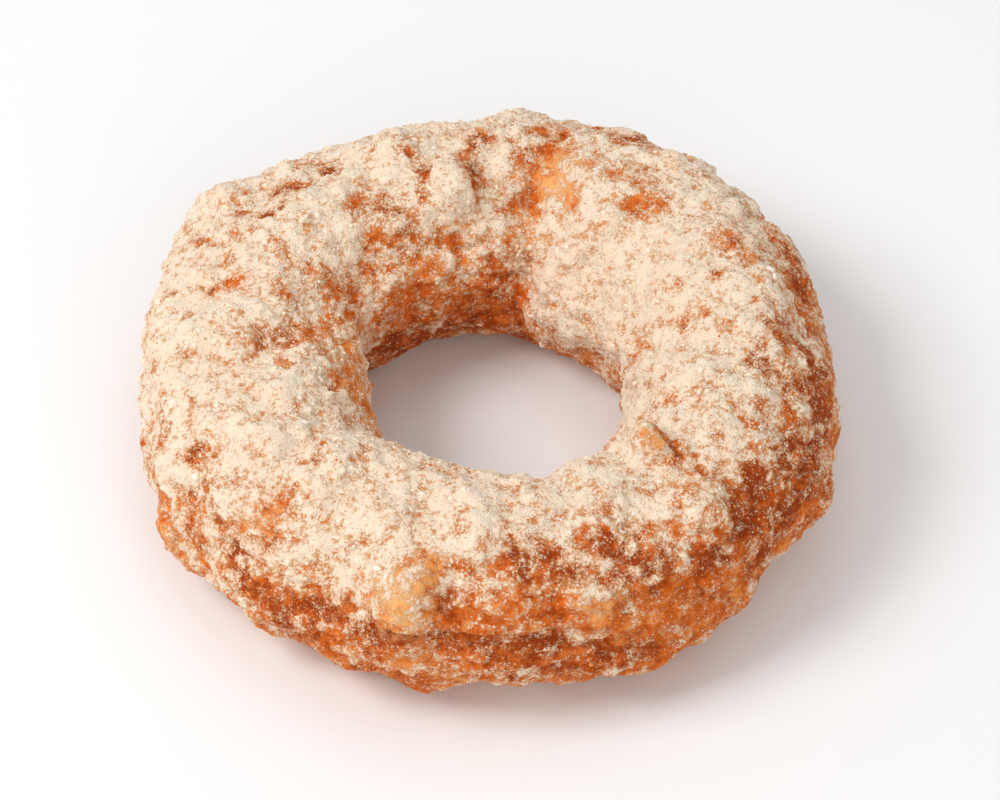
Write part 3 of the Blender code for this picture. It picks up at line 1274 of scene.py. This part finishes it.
@dataclass
class Finishes:
    """All the materials, which share their effects."""

    crust: CrustFinish = CrustFinish()
    powder: PowderFinish = PowderFinish()
    grain: PowderGrain = PowderGrain()
    sweet: SugarFinish = SugarFinish()
    powder_group: bpy.types.NodeTree = field(init=False)
    crust_group: bpy.types.NodeTree = field(init=False)
    mottle_group: bpy.types.NodeTree = field(init=False)

    def __post_init__(self) -> None:
        """Builds the shared effects once."""
        self.powder_group = powder_effect(self.grain)
        self.crust_group = crust_effect(self.crust)
        self.mottle_group = mottled_effect()

    def blank(self, name: str) -> tuple[bpy.types.Material, bpy.types.Node, bpy.types.NodeSocket]:
        """Makes a new material.

        Args:
            name: The material's name.

        Returns:
            The material, its shader and its Object coordinates.
        """
        material = bpy.data.materials.new(name)
        material.use_nodes = True
        shader = material.node_tree.nodes["Principled BSDF"]
        place = add_node(material.node_tree, "ShaderNodeTexCoord").outputs["Object"]
        return material, shader, place

    def mottled(
        self,
        tree: bpy.types.NodeTree,
        place: bpy.types.NodeSocket,
        size: float,
        first: Colour,
        second: Colour,
    ) -> bpy.types.NodeSocket:
        """A colour that drifts between two others.

        Args:
            tree: The material's node tree.
            place: Its Object coordinates.
            size: The size of the patches of each colour.
            first: One colour.
            second: The other.

        Returns:
            The socket that holds the colour.
        """
        inputs = {"Vector": place, "Size": size, "First": first, "Second": second}
        return place_group(tree, self.mottle_group, inputs).outputs["Color"]

    def powdered_crust(self) -> bpy.types.Material:
        """The skin: crust that shows through its powder.

        Returns:
            The material.
        """
        material, shader, place = self.blank("powdered_crust")
        tree = material.node_tree
        cover, browning, paleness = (read_value(tree, name) for name in (COVER, BROWNING, PALENESS))
        coat = place_group(
            tree, self.powder_group, {"Vector": place, "Cover": cover, "Grain": self.powder.grain}
        )
        crust = place_group(
            tree, self.crust_group, {"Vector": place, "Browning": browning, "Paleness": paleness}
        )
        drift = self.mottled(tree, place, self.powder.mottle, self.powder.cream, self.powder.rosy)
        # Painted shade: the powder is drawn in its shaded colour where Light is low
        lit = eased(tree, coat.outputs["Light"], *self.powder.lit)
        powder = blended(tree, lit, self.powder.shaded, drift)
        dry = eased(tree, coat.outputs["Thickness"], *self.powder.dry)
        film = blended(tree, dry, self.powder.soaked, powder)
        filmy = eased(tree, coat.outputs["Thickness"], *self.powder.filmy)
        filmy = maths(tree, "MULTIPLY", filmy, self.powder.film_opacity)
        colour = blended(tree, filmy, crust.outputs["Color"], film)
        grains = maths(tree, "MULTIPLY", coat.outputs["Mask"], self.powder.grain_opacity)
        added_roughness = self.powder.roughness - self.crust.roughness
        bump = add_node(
            tree,
            "ShaderNodeBump",
            {
                "Height": coat.outputs["Height"],
                "Distance": self.powder.bump,
                "Strength": self.powder.bump_strength,
            },
        )
        feed(
            shader,
            {
                "Base Color": blended(tree, grains, colour, powder),
                "Roughness": weighed(
                    tree, self.crust.roughness, (coat.outputs["Mask"], added_roughness)
                ),
                "Specular IOR Level": self.crust.shine,
                "Subsurface Weight": self.powder.translucency,
                "Subsurface Radius": self.powder.depth_by_colour,
                "Subsurface Scale": self.powder.depth,
                "Normal": bump.outputs["Normal"],
            },
        )
        return material

    def loose_powder(self, name: str) -> bpy.types.Material:
        """Loose powder, each grain with its own tint.

        Args:
            name: The material's name.

        Returns:
            The material.
        """
        material, shader, place = self.blank(name)
        tree = material.node_tree
        drift = self.mottled(
            tree, place, self.powder.loose_mottle, self.powder.cream, self.powder.rosy
        )
        dry = blended(tree, read_value(tree, TINT), drift, self.powder.fresh)
        dryness = eased(tree, read_value(tree, COVER), *self.powder.loose_dry)
        feed(
            shader,
            {
                "Base Color": blended(tree, dryness, self.powder.soaked, dry),
                "Roughness": self.powder.roughness,
                "Specular IOR Level": self.crust.shine,
            },
        )
        return material

    def sugar(self) -> bpy.types.Material:
        """Sugar: nearly white and smooth enough to glint.

        Returns:
            The material.
        """
        material, shader, place = self.blank("sugar")
        colour = self.mottled(
            material.node_tree, place, self.sweet.mottle, self.sweet.clear, self.sweet.amber
        )
        feed(shader, {"Base Color": colour, "Roughness": self.sweet.roughness})
        return material

    def crumb(self) -> bpy.types.Material:
        """Bits of crust, dusted with powder.

        Returns:
            The material.
        """
        material, shader, place = self.blank("crust_crumb")
        tree = material.node_tree
        browning = maths(tree, "MULTIPLY", read_value(tree, TINT), self.crust.crumb_browning)
        baked = {"Vector": place, "Browning": browning, "Paleness": self.crust.crumb_paleness}
        crust = place_group(tree, self.crust_group, baked)
        coated = {"Vector": place, "Cover": self.crust.crumb_dust, "Grain": 0.3 * MM}
        dust = place_group(tree, self.powder_group, coated)
        dusted = blended(tree, dust.outputs["Mask"], crust.outputs["Color"], self.powder.rosy)
        feed(
            shader,
            {
                "Base Color": dusted,
                "Roughness": self.crust.crumb_roughness,
                "Specular IOR Level": self.crust.shine,
            },
        )
        return material


@dataclass(frozen=True)
class SoftLamp:
    """A square studio lamp that looks at the doughnut."""

    name: str
    turn: float
    height: float
    distance: float
    side: float
    power: float

    def place(self, target: Vector) -> None:
        """Adds the lamp to the scene.

        Args:
            target: The place that it looks at.
        """
        turn, height = math.radians(self.turn), math.radians(self.height)
        way = Vector(
            (math.cos(turn) * math.cos(height), math.sin(turn) * math.cos(height), math.sin(height))
        )
        bpy.ops.object.light_add(type="AREA", location=target + way * self.distance)
        lamp = bpy.context.object
        lamp.name = self.name
        lamp.rotation_euler = way.to_track_quat("Z", "Y").to_euler()
        lamp.data.size = self.side
        lamp.data.energy = self.power


@dataclass(frozen=True)
class Studio:
    """A pale floor, soft lamps and the camera."""

    look_down: float = 48.0
    distance: float = 0.8
    view_width: float = 131.8 * MM
    aim: Vector = Vector((1.9 * MM, -0.65 * MM, 13.3 * MM))
    sensor: float = 36.0
    nearest_seen: float = 0.01
    floor_side: float = 6.0
    floor_drop: float = 0.05 * MM
    floor_colours: tuple[Colour, Colour] = ((0.93, 0.93, 0.93, 1.0), (0.91, 0.91, 0.91, 1.0))
    floor_mottle: float = 0.4
    floor_roughness: float = 0.9
    sky_strength: float = 0.50
    lamps: tuple[SoftLamp, ...] = (
        SoftLamp("key_lamp", 195.0, 50.0, 0.9, 0.4, 4.4),
        SoftLamp("fill_lamp", 285.0, 32.0, 1.1, 0.8, 2.6),
        SoftLamp("top_lamp", 80.0, 75.0, 1.2, 0.8, 1.4),
    )

    def build(self, finishes: Finishes) -> None:
        """Makes the floor, the lamps, the sky and the camera.

        Args:
            finishes: The materials.
        """
        self.lay_floor(finishes)
        for lamp in self.lamps:
            lamp.place(self.aim)
        world = bpy.data.worlds.new("studio_sky")
        world.use_nodes = True
        feed(
            world.node_tree.nodes["Background"],
            {"Strength": self.sky_strength, "Color": (1.0, 1.0, 1.0, 1.0)},
        )
        bpy.context.scene.world = world
        bpy.context.scene.view_settings.view_transform = "Standard"
        self.set_camera()

    def lay_floor(self, finishes: Finishes) -> None:
        """Lays a wide pale floor, just under the doughnut.

        Args:
            finishes: The materials.
        """
        bpy.ops.mesh.primitive_plane_add(size=self.floor_side, location=(0, 0, -self.floor_drop))
        floor = bpy.context.object
        floor.name = "studio_floor"
        material, shader, place = finishes.blank("studio_floor")
        paint = finishes.mottled(
            material.node_tree, place, self.floor_mottle, *self.floor_colours
        )
        feed(shader, {"Base Color": paint, "Roughness": self.floor_roughness})
        floor.data.materials.append(material)

    def set_camera(self) -> None:
        """A long lens that looks down on the doughnut from the front."""
        down = math.radians(self.look_down)
        back = Vector((0.0, -math.cos(down), math.sin(down)))
        bpy.ops.object.camera_add(location=self.aim + back * self.distance)
        camera = bpy.context.object
        camera.rotation_euler = back.to_track_quat("Z", "Y").to_euler()
        camera.data.sensor_width = self.sensor
        camera.data.lens = self.sensor * self.distance / self.view_width
        camera.data.clip_start = self.nearest_seen
        bpy.context.scene.camera = camera


@dataclass
class MilkDoughnut:
    """The whole: the skin, and all that lies loose on it."""

    finishes: Finishes
    ring: Ring

    def build(self, solid: bpy.types.Object) -> list[bpy.types.Object]:
        """Makes and dresses every piece.

        Args:
            solid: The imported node.

        Returns:
            The pieces, the skin first.
        """
        skin, coat = DoughnutSkin(self.ring).build(solid)
        skin.data.materials.append(self.finishes.powdered_crust())
        pieces = [skin]
        kinds = (
            (FINE_POWDER, self.finishes.loose_powder("fine_powder")),
            (COARSE_POWDER, self.finishes.loose_powder("coarse_powder")),
            (POWDER_CLUMPS, self.finishes.loose_powder("clumped_powder")),
            (SUGAR, self.finishes.sugar()),
            (CRUST_CRUMBS, self.finishes.crumb()),
        )
        for bits, material in kinds:
            piece = bits.build(skin, coat)
            piece.data.materials.append(material)
            if bits.kernel is Kernel.CLUMP:
                piece.data.shade_smooth()
            pieces.append(piece)
        for piece in pieces:
            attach(piece, BODY)
        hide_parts(NODE)
        return pieces


def main() -> None:
    """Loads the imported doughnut, dresses it and sets the studio."""
    logging.basicConfig(level=logging.INFO, format="%(message)s")
    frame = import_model()
    bpy.ops.object.select_all(action="DESELECT")
    finishes = Finishes()
    ring = Ring.inside_box(*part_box(NODE))
    for piece in MilkDoughnut(finishes, ring).build(frame["nodes"][NODE]):
        LOG.info("%s: %d faces", piece.name, len(piece.data.polygons))
    Studio().build(finishes)


if __name__ == "__main__":
    main()
